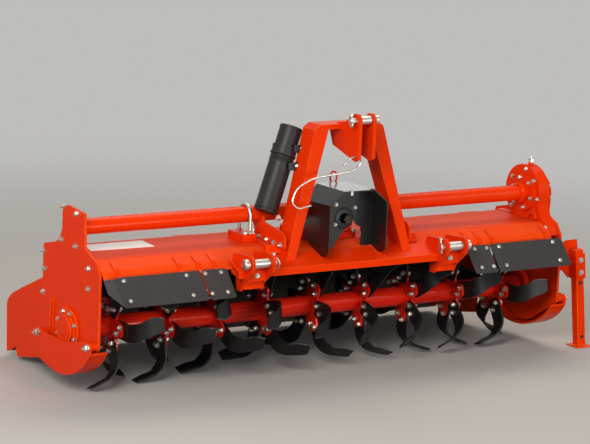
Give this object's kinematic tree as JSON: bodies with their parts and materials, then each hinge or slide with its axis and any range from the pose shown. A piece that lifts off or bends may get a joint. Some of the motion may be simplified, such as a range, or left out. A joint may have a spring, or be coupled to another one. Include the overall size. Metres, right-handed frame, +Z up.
{
  "type": "rotary tiller",
  "caption": "Tractor-mounted rotary tiller with hooded rotor, bladed flanges, side gear case, hinged tail board, skids, parking stand and three-point headstock.",
  "frame": {"origin": "middle of the footprint, on the ground", "axes": "+X along the working width, -Y towards the tractor, +Z up"},
  "size_m": [2.613, 1.063, 1.1575],
  "materials": {
    "orange_paint": "gloss enamel",
    "red_paint": "gloss enamel",
    "black_sheet": "satin enamel",
    "tine_steel": "satin enamel on forged steel",
    "zinc_steel": "zinc plated",
    "black_plastic": "moulded"
  },
  "bodies": {
    "frame": {"left_side_plate": "orange_paint", "right_side_plate": "orange_paint", "hood": "orange_paint", "support_tube": "orange_paint", "drive_shaft_tube": "orange_paint", "gearbox": "red_paint", "input_guard": "black_sheet", "gear_case": "orange_paint", "gear_case_cover": "orange_paint", "rotor_bearing_housing": "orange_paint", "hitch_beam": "orange_paint", "left_lower_clevis": "orange_paint", "left_lower_pin": "zinc_steel", "right_lower_clevis": "orange_paint", "right_lower_pin": "zinc_steel", "headstock_left_leg": "orange_paint", "headstock_right_leg": "orange_paint", "headstock_top_bar": "orange_paint", "top_link_left_ear": "orange_paint", "top_link_right_ear": "orange_paint", "top_link_pin": "zinc_steel", "headstock_left_foot": "orange_paint", "headstock_right_foot": "orange_paint", "tube_saddle": "orange_paint", "tube_u_bolt": "zinc_steel", "left_outer_panel": "black_sheet", "left_inner_panel": "black_sheet", "right_inner_panel": "black_sheet", "right_outer_panel": "black_sheet", "stand_bracket": "orange_paint", "paper_tube": "black_plastic"},
    "rotor": {"rotor_shaft": "red_paint", "tine_flange_1": "tine_steel", "tine_flange_2": "tine_steel", "tine_flange_3": "tine_steel", "tine_flange_4": "tine_steel", "tine_flange_5": "tine_steel", "tine_flange_6": "tine_steel", "tine_flange_7": "tine_steel", "tine_flange_8": "tine_steel", "tine_flange_9": "tine_steel"},
    "input": {"input_shaft": "zinc_steel"},
    "board": {"tail_board": "orange_paint"},
    "stand": {"stand_leg": "orange_paint"},
    "left_skid": {"left_skid": "orange_paint"},
    "right_skid": {"right_skid": "orange_paint"},
    "tube_cap": {"paper_tube_cap": "black_plastic"},
    "hook": {"drive_shaft_hook": "zinc_steel"}
  },
  "joints": [
    {"name": "rotor_spin", "type": "hinge", "parent": "frame", "child": "rotor", "pos_m": [-0.07849, -0.12754, 0.2615], "axis": [1, 0, 0], "continuous": true},
    {"name": "input_spin", "type": "hinge", "parent": "frame", "child": "input", "pos_m": [-0.07849, -0.32754, 0.6895], "axis": [0, 1, 0], "continuous": true},
    {"name": "board_swing", "type": "hinge", "parent": "frame", "child": "board", "pos_m": [-0.07849, 0.11546, 0.5495], "axis": [1, 0, 0], "range_deg": [0, 40]},
    {"name": "stand_slide", "type": "slide", "parent": "frame", "child": "stand", "axis": [-0.1045, 0, 0.9945], "range_m": [0, 0.22]},
    {"name": "left_skid_swing", "type": "hinge", "parent": "frame", "child": "left_skid", "pos_m": [-1.28649, 0.06746, 0.2115], "axis": [1, 0, 0], "range_deg": [0, 12]},
    {"name": "right_skid_swing", "type": "hinge", "parent": "frame", "child": "right_skid", "pos_m": [1.12951, 0.06746, 0.2115], "axis": [1, 0, 0], "range_deg": [0, 12]},
    {"name": "tube_cap_slide", "type": "slide", "parent": "frame", "child": "tube_cap", "axis": [0.3804, 0.1102, 0.9182], "range_m": [0, 0.1]},
    {"name": "hook_swing", "type": "hinge", "parent": "frame", "child": "hook", "pos_m": [-0.11449, -0.49954, 0.9775], "axis": [1, 0, 0], "range_deg": [-70, 0]}
  ],
  "couplings": [
    {"joint": "input_spin", "follows": "rotor_spin", "ratio": 2.4}
  ]
}
